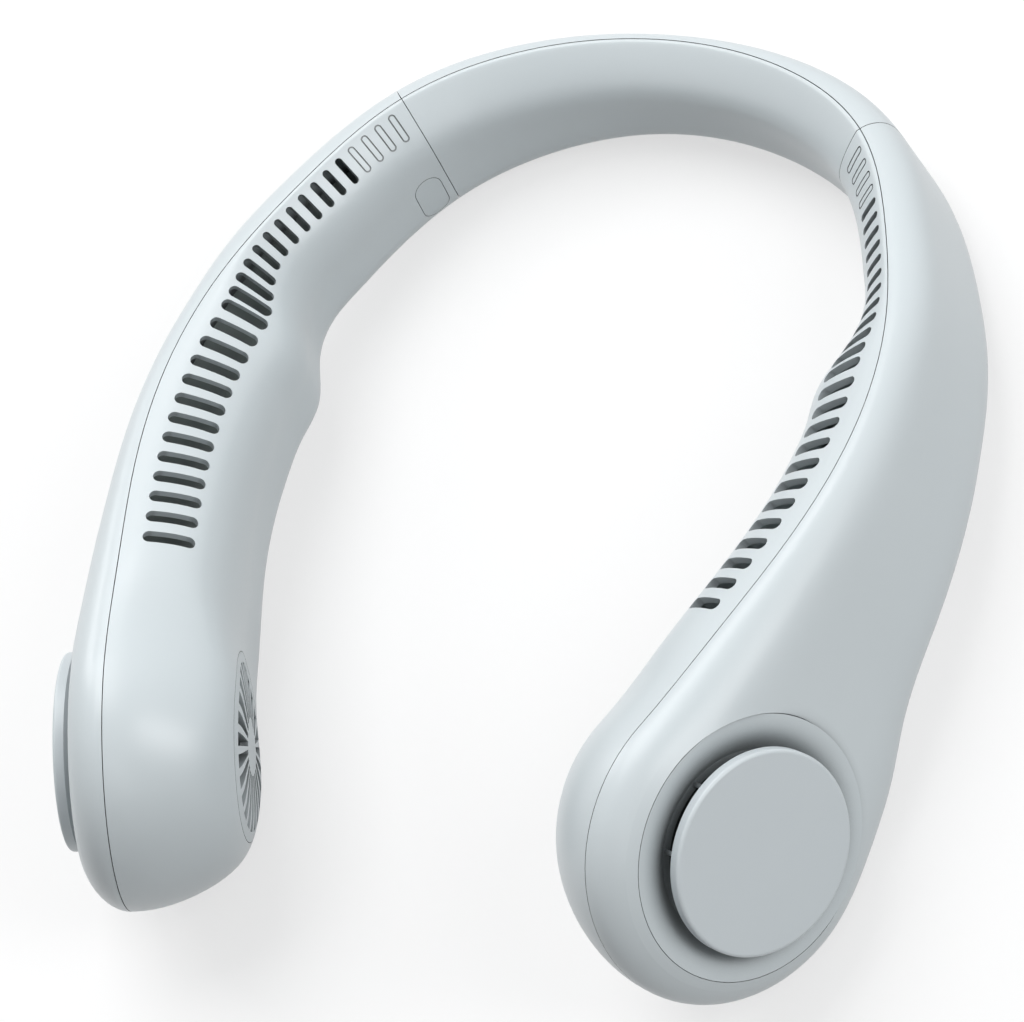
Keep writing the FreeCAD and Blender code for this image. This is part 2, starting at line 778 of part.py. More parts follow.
# Motor bracket: a hub with the bearing tube, on arms that are screwed to the bosses of the inner cover.
def make_motor_bracket():
    body = new_body("right_motor_bracket")
    bore = "bearing_radius + run_gap"
    hole = "shaft_radius + air_gap"
    revolve(body, "right_bracket_turn", [
        (hole, "bracket_level"),
        ("bracket_hub_radius", "bracket_level"),
        ("bracket_hub_radius", BRACKET_TOP),
        (TUBE_RADIUS, BRACKET_TOP),
        (TUBE_RADIUS, TUBE_TOP),
        (bore, TUBE_TOP),
        (bore, BRACKET_TOP),
        (hole, BRACKET_TOP),
    ])
    arm_sketch = new_sketch(body, "right_arm_outline", "XY_Plane", "bracket_level")
    draw_outline(arm_sketch, [
        (TUBE_RADIUS, "-bracket_arm_width / 2"),
        ("boss_circle_radius", "-bracket_arm_width / 2"),
        ("boss_circle_radius", "bracket_arm_width / 2"),
        (TUBE_RADIUS, "bracket_arm_width / 2"),
    ])
    arm = extrude(body, "right_arm", "PartDesign::Pad", arm_sketch, "bracket_thickness")
    tab_sketch = new_sketch(body, "right_tab_outline", "XY_Plane", "bracket_level")
    draw_circle(tab_sketch, "boss_circle_radius", "bracket_arm_width / 2")
    tab = extrude(body, "right_tab", "PartDesign::Pad", tab_sketch, "bracket_thickness")
    hole_sketch = new_sketch(body, "right_screw_hole", "XY_Plane", "bracket_level")
    draw_circle(hole_sketch, "boss_circle_radius", "screw_radius + seat_gap")
    doc.recompute()
    drill = extrude(body, "right_drill", "PartDesign::Pocket", hole_sketch, "bracket_thickness")
    drill.Reversed = True
    repeat_round(body, "right_arms", [arm, tab, drill], "bracket_arm_count")
    return body


def make_bracket_screws():
    screws = []
    for count, outward in enumerate(boss_places()):
        head = cylinder(f"right_screw_head_{count}", "screw_head_radius", "screw_head_height", BRACKET_TOP)
        shank = cylinder(f"right_screw_shank_{count}", "screw_radius - run_gap", "screw_length",
                         f"{BRACKET_TOP} - screw_length")
        screw = doc.addObject("Part::Fuse", f"right_screw_{count}")
        screw.Base = head
        screw.Tool = shank
        turn = FULL_TURN * count / size("bracket_arm_count")
        reach = Vector(size("boss_circle_radius"), 0, 0)
        screw.Placement = Placement(Rotation(Vector(0, 0, 1), turn).multVec(reach), Rotation())
        screws.append(screw)
    return group("right_bracket_screws", screws)


# Motor: bearings in the tube, a toothed stator on it, and a magnet ring in a bell round the stator.
def make_motor_bearings():
    bearings = []
    for place, level in (("low", BRACKET_TOP), ("high", f"{BRACKET_TOP} + bearing_spacing")):
        bearings.append(ring(f"right_bearing_{place}", "bearing_radius", "shaft_radius + run_gap",
                             "bearing_width", level))
    return group("right_motor_bearings", bearings)


def make_motor_stator():
    body = new_body("right_motor_stator")
    bore = f"{TUBE_RADIUS} + run_gap"
    yoke = f"{bore} + stator_yoke"
    base = f"{ROTOR_BASE} + air_gap"
    top = f"{base} + stator_height"
    revolve(body, "right_yoke_turn", [(bore, base), (yoke, base), (yoke, top), (bore, top)])
    teeth = []
    for name, near, width in (
            ("tooth", f"{bore} + stator_yoke / 2", "tooth_width"),
            ("tooth_tip", "stator_radius - tooth_tip", "tooth_tip_width")):
        sketch = new_sketch(body, f"right_{name}_outline", "XY_Plane", base)
        draw_outline(sketch, [
            (near, f"-{width} / 2"),
            ("stator_radius - seat_gap", f"-{width} / 2"),
            ("stator_radius - seat_gap", f"{width} / 2"),
            (near, f"{width} / 2"),
        ])
        teeth.append(extrude(body, f"right_{name}", "PartDesign::Pad", sketch, "stator_height"))
    repeat_round(body, "right_teeth", teeth, "tooth_count")
    return body


def make_motor_shaft():
    body = new_body("right_motor_shaft")
    top = f"{BELL_TOP} + wheel_plate"
    revolve(body, "right_shaft_turn", [
        ("0", BRACKET_TOP), ("shaft_radius", BRACKET_TOP), ("shaft_radius", top), ("0", top)])
    return body


def make_rotor_bell():
    body = new_body("right_rotor_bell")
    bore = "shaft_radius + run_gap"
    under = f"{BELL_TOP} - bell_thickness"
    revolve(body, "right_bell_turn", [
        (bore, under),
        (BELL_BORE, under),
        (BELL_BORE, ROTOR_BASE),
        (BELL_RADIUS, ROTOR_BASE),
        (BELL_RADIUS, BELL_TOP),
        (bore, BELL_TOP),
    ])
    return body


def make_rotor_magnet():
    magnet = ring("right_rotor_magnet", f"{BELL_BORE} - run_gap", MAGNET_BORE, "stator_height",
                  f"{ROTOR_BASE} + air_gap")
    magnet.Label = "right_rotor_magnet"
    return magnet


# Impeller: a hub cup on the bell, a web, swept blades and a ring at either end.
def make_impeller():
    body = new_body("right_impeller")
    bore = "shaft_radius + run_gap"
    cup = f"{BELL_RADIUS} + run_gap"
    hub = f"{cup} + wheel_plate"
    seat = f"{BELL_TOP} + run_gap"
    web = f"{ROTOR_BASE} + bell_height / 2"
    web_edge = "wheel_radius - wheel_ring_width"
    revolve(body, "right_hub_turn", [
        (bore, seat),
        (cup, seat),
        (cup, f"{ROTOR_BASE} + air_gap"),
        (hub, f"{ROTOR_BASE} + air_gap"),
        (hub, web),
        (web_edge, web),
        (web_edge, f"{web} + wheel_plate"),
        (hub, f"{web} + wheel_plate"),
        (hub, f"{seat} + wheel_plate"),
        (bore, f"{seat} + wheel_plate"),
    ])
    tip_across = "(wheel_radius - blade_thickness) * cos(blade_sweep_angle)"
    tip_up = "(wheel_radius - blade_thickness) * sin(blade_sweep_angle)"
    sketch = new_sketch(body, "right_blade_outline", "XY_Plane", WHEEL_BASE)
    draw_outline(sketch, [
        ("wheel_inlet_radius", "0", "blade_bend_radius", 1),
        (tip_across, tip_up),
        (f"{tip_across} + blade_thickness", tip_up, "blade_bend_radius", -1),
        ("wheel_inlet_radius + blade_thickness", "0"),
    ])
    blade = extrude(body, "right_blade", "PartDesign::Pad", sketch, f"{WHEEL_TOP} - ({WHEEL_BASE})")
    repeat_round(body, "right_blades", [blade], "blade_count")
    rims = []
    for low in (WHEEL_BASE, f"{WHEEL_TOP} - wheel_plate"):
        high = f"{low} + wheel_plate"
        rims.append([(web_edge, low), ("wheel_radius", low), ("wheel_radius", high), (web_edge, high)])
    doc.recompute()
    body.Tip = revolve(body, "right_rims_turn", *rims)
    return body


HEAD_PIECES = [
    make_intake_dish(), make_intake_cap(), make_motor_bracket(), make_bracket_screws(),
    make_motor_bearings(), make_motor_stator(), make_motor_shaft(), make_rotor_bell(),
    make_rotor_magnet(), make_impeller(),
]


# Duct plate: the floor of the air channel, from the button to the fan.
DUCT_SHARE = 0.40
loose_gap = size("loose_gap")


def make_duct_plate():
    key_half = size("button_width") * HALF + size("button_flange")
    first = SEAM + size("button_setback") + key_half + loose_gap
    last = CREST_REACH - size("duct_plate_margin")
    wires = []
    for place in places_between(first, last):
        section = Section(place)
        near = section.outer - wall - size("plate_gap")
        far = section.inner - wall - size("plate_gap")
        top = DUCT_SHARE * section.depth
        bottom = top + size("duct_plate_thickness")
        corners = [section.at(near, top), section.at(near, bottom),
                   section.at(-far, bottom), section.at(-far, top)]
        wires.append(Part.makePolygon(corners + corners[:1]))
    return add_shape("right_duct_plate", Part.makeLoft(wires, True, True))


# Band sleeve: a collar inside the shells that bridges the seam, notched beside the button.
def make_band_sleeve():
    reach = size("sleeve_length") * HALF
    outside = wall + loose_gap
    inside = outside + size("sleeve_thickness")
    sections = [Section(place) for place in places_between(SEAM - reach, SEAM + reach)]
    collar = Part.makeLoft([section.full_wire(outside) for section in sections], True)
    bore = Part.makeLoft([section.oval_wire(inside) for section in sections], True)
    margin = 2 * (size("button_flange") + loose_gap)
    notch = pill_prism(BUTTON, BUTTON_MIDDLE, size("button_width") + margin, size("button_height") + margin,
                       size("button_flange"), BUTTON.inner)
    return add_shape("right_band_sleeve", collar.cut(bore).cut(notch))


def pill_prism(section, middle, width, height, near, far):
    """A round-ended prism through the neck side of a section, between two depths from the crest plane."""
    radius = width * HALF
    straight = height * HALF - radius

    def point(along, down):
        return section.at(-near, middle + down, along)

    outline = Part.Wire([
        Part.makeLine(point(-radius, -straight), point(-radius, straight)),
        Part.Arc(point(-radius, straight), point(0, straight + radius), point(radius, straight)).toShape(),
        Part.makeLine(point(radius, straight), point(radius, -straight)),
        Part.Arc(point(radius, -straight), point(0, -straight - radius), point(-radius, -straight)).toShape(),
    ])
    return Part.Face(outline).extrude(section.out * (near - far))


# Power button, in the neck side beside the seam, flush with the skin and held by a flange behind it.
BUTTON = Section(SEAM + size("button_setback"))
BUTTON_MIDDLE = size("button_drop") + size("button_height") * HALF
BUTTON_BACK = BUTTON.inner - wall - size("button_depth")


def make_power_button():
    width, height = size("button_width"), size("button_height")
    key = pill_prism(BUTTON, BUTTON_MIDDLE, width, height, BUTTON_BACK, BUTTON.inner + overrun)
    key = key.common(inner_solid)
    rim = 2 * size("button_flange")
    flange = pill_prism(BUTTON, BUTTON_MIDDLE, width + rim, height + rim, BUTTON_BACK,
                        BUTTON_BACK + size("button_flange_thickness"))
    return add_shape("power_button_source", key.fuse(flange).removeSplitter())


def make_button_cutter():
    room = 2 * seat_gap
    return add_shape("button_cutter", pill_prism(
        BUTTON, BUTTON_MIDDLE, size("button_width") + room, size("button_height") + room,
        BUTTON_BACK, BUTTON.inner + overrun))


# Control board under the duct plate, with the switch behind the button and the charging port at its foot.
# Its frame runs along the arm, down and outward.
BOARD = Section(SEAM + size("board_setback") + size("board_length") * HALF)
BOARD_FRAME = Placement(BOARD.origin, Rotation(BOARD.along, BOARD.up * -1, BOARD.out, "ZXY"))
BOARD_TOP = DUCT_SHARE * BOARD.depth + size("duct_plate_thickness") + loose_gap
PORT_ALONG = size("port_setback") - size("board_setback") - size("board_length") * HALF
PORT_MOUTH = BOARD.depth - size("port_recess")


def box(name, length, width, height):
    solid = doc.addObject("Part::Box", name)
    for side, expression in (("Length", length), ("Width", width), ("Height", height)):
        solid.setExpression(side, bound(expression))
    return solid


def make_control_board():
    board = box("control_board_source", "board_length", "board_width", "board_thickness")
    corner = Vector(-size("board_length") * HALF, BOARD_TOP,
                    -size("port_thickness") * HALF - size("board_thickness"))
    board.Placement = Placement(corner, Rotation())
    return board


def make_button_switch():
    case = box("switch_case", "switch_width", "switch_width", "switch_height")
    half = size("switch_width") * HALF
    case.Placement = Placement(Vector(-half, -half, 0), Rotation())
    plunger = cylinder("switch_plunger", "switch_plunger_radius", "switch_plunger_height",
                       "-switch_plunger_height")
    switch = doc.addObject("Part::Fuse", "button_switch_source")
    switch.Base = case
    switch.Tool = plunger
    along = size("button_setback") - size("board_setback") - size("board_length") * HALF
    level = -size("port_thickness") * HALF - size("board_thickness") - size("switch_height")
    switch.Placement = Placement(Vector(along, BUTTON_MIDDLE, level), Rotation())
    return switch


def port_prism(width, thickness, top, bottom):
    """A flat round-ended prism that stands on the board's port place, from one depth to another."""
    radius = thickness * HALF
    straight = width * HALF - radius

    def point(along, out):
        return Vector(PORT_ALONG + along, top, out)

    outline = Part.Wire([
        Part.makeLine(point(-straight, -radius), point(straight, -radius)),
        Part.Arc(point(straight, -radius), point(straight + radius, 0), point(straight, radius)).toShape(),
        Part.makeLine(point(straight, radius), point(-straight, radius)),
        Part.Arc(point(-straight, radius), point(-straight - radius, 0), point(-straight, -radius)).toShape(),
    ])
    return Part.Face(outline).extrude(Vector(0, bottom - top, 0))


def make_usb_port():
    width, thickness, skin = size("port_width"), size("port_thickness"), size("port_shell")
    back = PORT_MOUTH - size("port_length")
    shell = port_prism(width, thickness, back, PORT_MOUTH)
    mouth = port_prism(width - 2 * skin, thickness - 2 * skin, back + size("tongue_thickness"),
                       PORT_MOUTH + overrun)
    tongue = Part.makeBox(
        size("tongue_width"), size("port_length") - size("tongue_thickness"), size("tongue_thickness"),
        Vector(PORT_ALONG - size("tongue_width") * HALF, back, -size("tongue_thickness") * HALF))
    return add_shape("usb_c_port_source", shell.cut(mouth).fuse(tongue).removeSplitter())


def make_port_cutter():
    room = 2 * seat_gap
    return add_shape("port_cutter", port_prism(
        size("port_width") + room, size("port_thickness") + room,
        PORT_MOUTH - size("port_length"), BOARD.depth + overrun))


# Battery: a round cell under the duct plate, along the chord of the arm's bend.
BATTERY_SHARE = 0.70


def make_battery():
    body = new_body("right_battery")
    shoulder = "battery_length - battery_cap_height"
    revolve(body, "right_cell_turn", [
        ("0", "0"),
        ("battery_radius - battery_cap_height", "0"),
        ("battery_radius", "battery_cap_height"),
        ("battery_radius", f"{shoulder} - battery_cap_height"),
        ("battery_radius - battery_cap_height", shoulder),
        ("battery_cap_radius", shoulder),
        ("battery_cap_radius", "battery_length"),
        ("0", "battery_length"),
    ])
    half = size("battery_length") * HALF
    ends = []
    for place in (BATTERY_SHARE * CREST_REACH - half, BATTERY_SHARE * CREST_REACH + half):
        section = Section(place)
        plate_foot = DUCT_SHARE * section.depth + size("duct_plate_thickness")
        ends.append(section.at(-size("battery_offset"), plate_foot + loose_gap + size("battery_radius")))
    axis = ends[1] - ends[0]
    middle = (ends[0] + ends[1]) * HALF
    axis.normalize()
    body.Placement = Placement(middle - axis * half, Rotation(Vector(0, 0, 1), axis))
    return body


# Leads: one through the band, one along each arm under the battery to the motor bracket.
# Route points: share of the crest, share of the bulge they lie in, share of the depth.
ARM_LEAD_SHARES = (
    (0.281, 0.17, 0.62), (0.335, 0.18, 0.62), (0.39, 0.17, 0.62), (0.445, 0.05, 0.64),
    (0.51, -0.30, 0.75), (0.576, -0.42, 0.88), (0.655, -0.43, 0.87), (0.735, -0.44, 0.85),
    (0.812, -0.46, 0.78), (0.868, -0.66, 0.62),
)
BAND_LEAD_SHARES = (-0.278, -0.209, -0.139, -0.07, 0, 0.07, 0.139, 0.209, 0.278)
RUN_SHARE = 0.45


def lead_tube(label, points):
    """A round lead of straight runs joined by tangent arcs, each as wide as its runs allow."""
    edges = []
    start = points[0]
    radii = []
    for before, corner, after in zip(points, points[1:], points[2:]):
        into, away = corner - before, after - corner
        setback = RUN_SHARE * min(into.Length, away.Length)
        half_turn = into.getAngle(away) * HALF
        radii.append(setback / math.tan(half_turn))
        into.normalize()
        away.normalize()
        first, last = corner - into * setback, corner + away * setback
        sag = radii[-1] * (1 / math.cos(half_turn) - 1)
        middle = corner + (away - into).normalize() * sag
        edges.append(Part.makeLine(start, first))
        edges.append(Part.Arc(first, middle, last).toShape())
        start = last
    edges.append(Part.makeLine(start, points[-1]))
    path = Part.Wire(edges)
    ring_edge = Part.makeCircle(size("lead_radius"), points[0], points[1] - points[0])
    tube = path.makePipeShell([Part.Wire(ring_edge)], True, False)
    print(label, "length", round(path.Length, 1), "volume share",
          round(tube.Volume / (math.pi * size("lead_radius") ** 2 * path.Length), 4),
          "radii", [round(radius, 1) for radius in radii])
    return add_shape(label, tube)


def lead_point(share, across_share, down_share):
    section = Section(share * CREST_REACH)
    bulge = section.outer if across_share > 0 else section.inner
    return section.at(across_share * bulge, down_share * section.depth)


def make_motor_lead():
    points = [lead_point(*shares) for shares in ARM_LEAD_SHARES]
    level = size("bracket_level") - size("lead_radius") - seat_gap
    for reach in (2 * size("bracket_hub_radius"), size("bracket_hub_radius")):
        points.append(HEAD_FRAME.multVec(Vector(0, -reach, level)))
    return lead_tube("right_motor_lead", points)


def make_rear_lead():
    across, down = ARM_LEAD_SHARES[0][1:]
    return lead_tube("rear_lead", [lead_point(share, across, down) for share in BAND_LEAD_SHARES])


ARM_PIECES = [make_duct_plate(), make_band_sleeve(), make_motor_lead()]
right_battery = make_battery()
rear_lead = make_rear_lead()
power_button_source = make_power_button()
button_cutter = make_button_cutter()
control_board_source = make_control_board()
button_switch_source = make_button_switch()
usb_c_port_source = make_usb_port()
port_cutter = make_port_cutter()


# The charging port and the button open only the left shells, which are then mirrored into place.
def make_cut(name, base, tools):
    for count, tool in enumerate(tools):
        cut = doc.addObject("Part::Cut", f"{name}_{count}")
        cut.Base = base
        cut.Tool = tool
        base = cut
    return base


left_outer_source = make_cut("left_outer_source", right_outer_cover, [port_cutter])
left_inner_source = make_cut("left_inner_source", right_inner_cover, [port_cutter, button_cutter])


# The part stands on the two heads and on the keel of the rear band, as it lies on a table.
def lying_tilt():
    """The turn about X, in degrees, that brings the heads and the rear band to one level."""
    shares = [step / SAMPLE_COUNT for step in range(SAMPLE_COUNT + 1)]
    rear = [point for share in shares for point in skin_points(Section(SEAM * share))]
    profile = [point for point in skin_points(HEAD) if (point - HEAD_CENTRE).dot(HEAD.up) >= 0]
    front = [HEAD_CENTRE + Rotation(HEAD.out, HALF_TURN * share).multVec(point - HEAD_CENTRE)
             for share in shares for point in profile]
    arm_length = CREST_REACH - SEAM
    front += [point for share in shares for point in skin_points(Section(SEAM + arm_length * share))]
    flat, steep = 0, HALF_TURN / 4
    while steep - flat > TILT_TOLERANCE:
        middle = (flat + steep) * HALF
        turn = Rotation(Vector(1, 0, 0), -middle)
        if lowest(turn, rear) > lowest(turn, front):
            flat = middle
        else:
            steep = middle
    turn = Rotation(Vector(1, 0, 0), -flat)
    turned = [turn.multVec(point) for point in rear + front]
    middle_y = (min(point.y for point in turned) + max(point.y for point in turned)) * HALF
    return Placement(Vector(0, -middle_y, -lowest(turn, rear + front)), turn)


def skin_points(section):
    return [point for sign in (1, -1)
            for point in section.half_curve(sign, 0).toShape().discretize(SAMPLE_COUNT)]


def lowest(turn, points):
    return min(turn.multVec(point).z for point in points)


SAMPLE_COUNT = 90
TILT_TOLERANCE = 0.001
STAND = lying_tilt()

in_arm_frame = ARM_PIECES + [
    right_outer_cover, right_inner_cover, right_inner_grille, rear_outer_cover, rear_inner_cover,
    right_battery, rear_lead, power_button_source, button_cutter]
for piece in in_arm_frame:
    piece.Placement = STAND.multiply(piece.Placement)
for piece in HEAD_PIECES:
    piece.Placement = STAND.multiply(HEAD_FRAME).multiply(piece.Placement)
for piece in (control_board_source, button_switch_source, usb_c_port_source, port_cutter):
    piece.Placement = STAND.multiply(BOARD_FRAME).multiply(piece.Placement)


def mirrored(label, source):
    twin = doc.addObject("Part::Mirroring", label)
    twin.Label = label
    twin.Source = source
    twin.Base = Vector(0, 0, 0)
    twin.Normal = Vector(1, 0, 0)
    return twin


right_nodes = HEAD_PIECES + ARM_PIECES + [right_inner_grille, right_battery]
left_nodes = [mirrored(piece.Label.replace("right_", "left_"), piece) for piece in right_nodes]
left_nodes += [
    mirrored("left_outer_cover", left_outer_source),
    mirrored("left_inner_cover", left_inner_source),
    mirrored("power_button", power_button_source),
    mirrored("control_board", control_board_source),
    mirrored("button_switch", button_switch_source),
    mirrored("usb_c_port", usb_c_port_source),
]
NODES = right_nodes + left_nodes + [
    right_outer_cover, right_inner_cover, rear_outer_cover, rear_inner_cover, rear_lead]
doc.recompute()

# Nothing is written unless every object came out sound.
failed = [item.Name for item in doc.Objects if "Invalid" in item.State or "Error" in item.State]
failed += [piece.Label for piece in NODES if piece.Shape.isNull() or not piece.Shape.isValid()]
if failed:
    raise RuntimeError(f"failed objects: {failed}")
os.makedirs("parts", exist_ok=True)
for piece in NODES:
    piece.Shape.exportStep(f"parts/{piece.Label}.step")

# Places that the joints and mounts take, in the part's frame.
for label, point, direction in (
        ("fan axis", HEAD_CENTRE, HEAD.out),
        ("cap face", HEAD_FRAME.multVec(Vector(0, 0, number(CAP_TOP))), HEAD.out),
        ("button", BUTTON.at(-BUTTON.inner, BUTTON_MIDDLE), BUTTON.out),
        ("port mouth", BOARD_FRAME.multVec(Vector(PORT_ALONG, PORT_MOUTH, 0)), BOARD.up * -1)):
    print(label, STAND.multVec(point), STAND.Rotation.multVec(direction))
print("tilt", STAND.Rotation.Angle, "shift", STAND.Base)
for piece in NODES:
    print(piece.Label, len(piece.Shape.Solids), round(piece.Shape.Volume, 1))
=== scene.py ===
import math

import bpy
from mathutils import Euler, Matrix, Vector

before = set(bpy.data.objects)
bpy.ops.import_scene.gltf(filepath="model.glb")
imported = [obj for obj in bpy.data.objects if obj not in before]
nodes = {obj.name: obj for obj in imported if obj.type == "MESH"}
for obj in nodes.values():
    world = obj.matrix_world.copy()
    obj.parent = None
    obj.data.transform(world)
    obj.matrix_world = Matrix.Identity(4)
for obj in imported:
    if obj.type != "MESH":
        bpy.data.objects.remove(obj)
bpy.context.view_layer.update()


# Half shells of the two arms and of the rear band: white ABS, injection moulded in a tool with a
# fine spark-eroded finish, so the skin is satin and faintly grained. They meet along the crest.
def node_group(name, inputs, outputs):
    group = bpy.data.node_groups.new(name, "ShaderNodeTree")
    for label, kind, value in inputs:
        socket = group.interface.new_socket(label, in_out="INPUT", socket_type=kind)
        socket.default_value = value
    for label, kind in outputs:
        group.interface.new_socket(label, in_out="OUTPUT", socket_type=kind)
    return group, group.nodes.new("NodeGroupInput"), group.nodes.new("NodeGroupOutput")


def add_node(tree, kind, settings=None, **sockets):
    node = tree.nodes.new(kind)
    for name, value in (settings or {}).items():
        setattr(node, name, value)
    for name, value in sockets.items():
        node.inputs[name.replace("_", " ")].default_value = value
    return node


def spread(tree, source, low, high, start=0.3, end=0.7):
    """Stretches a value over a range; noise stays near a half, so its middle is the default."""
    stretch = add_node(tree, "ShaderNodeMapRange", From_Min=start, From_Max=end)
    tree.links.new(source, stretch.inputs["Value"])
    for socket, value in (("To Min", low), ("To Max", high)):
        if isinstance(value, bpy.types.NodeSocket):
            tree.links.new(value, stretch.inputs[socket])
        else:
            stretch.inputs[socket].default_value = value
    return stretch.outputs["Result"]


# A colour mix keeps its two colours and its result at these places among its sockets.
FIRST_COLOUR, SECOND_COLOUR, MIXED_COLOUR = 6, 7, 2


def blend_colours(tree, share, first, second):
    """Mixes two colours, each a socket or a plain colour."""
    mix = add_node(tree, "ShaderNodeMix", {"data_type": "RGBA"})
    tree.links.new(share, mix.inputs["Factor"])
    for place, colour in ((FIRST_COLOUR, first), (SECOND_COLOUR, second)):
        if isinstance(colour, bpy.types.NodeSocket):
            tree.links.new(colour, mix.inputs[place])
        else:
            mix.inputs[place].default_value = (*colour, 1)
    return mix.outputs[MIXED_COLOUR]


FINISH_OUTPUTS = [("Colour", "NodeSocketColor"), ("Roughness", "NodeSocketFloat"),
                  ("Height", "NodeSocketFloat")]
moulded_skin_and_gap_shade, skin_in, skin_out = node_group(
    "moulded_skin_and_gap_shade",
    [("Tone", "NodeSocketColor", (0.8, 0.8, 0.8, 1)),
     ("Deep Tone", "NodeSocketColor", (0.7, 0.7, 0.7, 1)),
     ("Gap Shade", "NodeSocketFloat", 0.8), ("Gap Reach", "NodeSocketFloat", 0.003),
     ("Grain Scale", "NodeSocketFloat", 2600.0), ("Cloud Scale", "NodeSocketFloat", 24.0),
     ("Rough Low", "NodeSocketFloat", 0.34), ("Rough High", "NodeSocketFloat", 0.44)],
    FINISH_OUTPUTS)
skin_place = add_node(moulded_skin_and_gap_shade, "ShaderNodeTexCoord")
skin_grain = add_node(moulded_skin_and_gap_shade, "ShaderNodeTexNoise", Detail=2.0, Roughness=0.6)
skin_cloud = add_node(moulded_skin_and_gap_shade, "ShaderNodeTexNoise", Detail=3.0, Roughness=0.5)
for noise, scale in ((skin_grain, "Grain Scale"), (skin_cloud, "Cloud Scale")):
    moulded_skin_and_gap_shade.links.new(skin_place.outputs["Object"], noise.inputs["Vector"])
    moulded_skin_and_gap_shade.links.new(skin_in.outputs[scale], noise.inputs["Scale"])
skin_share = spread(moulded_skin_and_gap_shade, skin_cloud.outputs["Fac"], 0.0, 1.0)
skin_tone = blend_colours(moulded_skin_and_gap_shade, skin_share, skin_in.outputs["Tone"],
                          skin_in.outputs["Deep Tone"])
# Painted shade: in slots, lines and corners the tone falls to the gap shade, a share of itself.
skin_painted_gap_shade = add_node(moulded_skin_and_gap_shade, "ShaderNodeAmbientOcclusion", {"samples": 8})
moulded_skin_and_gap_shade.links.new(skin_in.outputs["Gap Reach"], skin_painted_gap_shade.inputs["Distance"])
skin_open = spread(moulded_skin_and_gap_shade, skin_painted_gap_shade.outputs["AO"], skin_in.outputs["Gap Shade"], 1.0,
                   start=0.42, end=0.94)
skin_shaded = add_node(moulded_skin_and_gap_shade, "ShaderNodeVectorMath", {"operation": "SCALE"})
moulded_skin_and_gap_shade.links.new(skin_tone, skin_shaded.inputs["Vector"])
moulded_skin_and_gap_shade.links.new(skin_open, skin_shaded.inputs["Scale"])
skin_rough = spread(moulded_skin_and_gap_shade, skin_grain.outputs["Fac"], skin_in.outputs["Rough Low"],
                    skin_in.outputs["Rough High"])
moulded_skin_and_gap_shade.links.new(skin_shaded.outputs["Vector"], skin_out.inputs["Colour"])
moulded_skin_and_gap_shade.links.new(skin_rough, skin_out.inputs["Roughness"])
moulded_skin_and_gap_shade.links.new(skin_grain.outputs["Fac"], skin_out.inputs["Height"])


def finish_from_group(name, group, values, depth, shader_values):
    """A material with colour, roughness and relief from a group; plain values sit on the shader."""
    material = bpy.data.materials.new(name)
    material.use_nodes = True
    tree = material.node_tree
    shader = tree.nodes["Principled BSDF"]
    for socket, value in shader_values.items():
        shader.inputs[socket].default_value = value
    source = add_node(tree, "ShaderNodeGroup", {"node_tree": group})
    for socket, value in values.items():
        source.inputs[socket].default_value = (*value, 1) if isinstance(value, tuple) else value
    relief = add_node(tree, "ShaderNodeBump", Strength=1.0, Distance=depth)
    tree.links.new(source.outputs["Colour"], shader.inputs["Base Color"])
    tree.links.new(source.outputs["Roughness"], shader.inputs["Roughness"])
    tree.links.new(source.outputs["Height"], relief.inputs["Height"])
    tree.links.new(relief.outputs["Normal"], shader.inputs["Normal"])
    return material


def dress(material, *names):
    for name in names:
        for slot in nodes[name].material_slots:
            slot.material = material


def both(*names):
    return [f"{side}_{name}" for side in ("left", "right") for name in names]


# Painted shade takes the slots and parting line of the outer plastics down to a quarter of the
# tone.
cover_plastic = finish_from_group(
    "cover_plastic", moulded_skin_and_gap_shade,
    {"Tone": (0.640, 0.694, 0.714), "Deep Tone": (0.622, 0.677, 0.698), "Grain Scale": 2600.0,
     "Gap Shade": 0.27, "Rough Low": 0.28, "Rough High": 0.35},
    depth=0.000004, shader_values={"IOR": 1.50})
dress(cover_plastic, *both("outer_cover", "inner_cover"), "rear_outer_cover", "rear_inner_cover")


# Power button: a pill shaped key of the same plastic, set in the neck side of the left arm with an
# even gap round it. A little rougher than the cover, because fingers land on it.
key_plastic = finish_from_group(
    "key_plastic", moulded_skin_and_gap_shade,
    {"Tone": (0.630, 0.684, 0.704), "Deep Tone": (0.608, 0.663, 0.684), "Grain Scale": 2200.0,
     "Gap Shade": 0.27, "Rough Low": 0.42, "Rough High": 0.52},
    depth=0.000006, shader_values={"IOR": 1.50})
dress(key_plastic, "power_button")


# Neck side grilles: round inserts of the cover plastic with radial slots, pressed into a stepped
# seat. Made in their own tool, so their tone is a shade off the cover's.
grille_plastic = finish_from_group(
    "grille_plastic", moulded_skin_and_gap_shade,
    {"Tone": (0.640, 0.694, 0.714), "Deep Tone": (0.618, 0.673, 0.694), "Grain Scale": 2600.0,
     "Gap Shade": 0.27, "Rough Low": 0.38, "Rough High": 0.46},
    depth=0.000004, shader_values={"IOR": 1.50})
dress(grille_plastic, *both("inner_grille"))


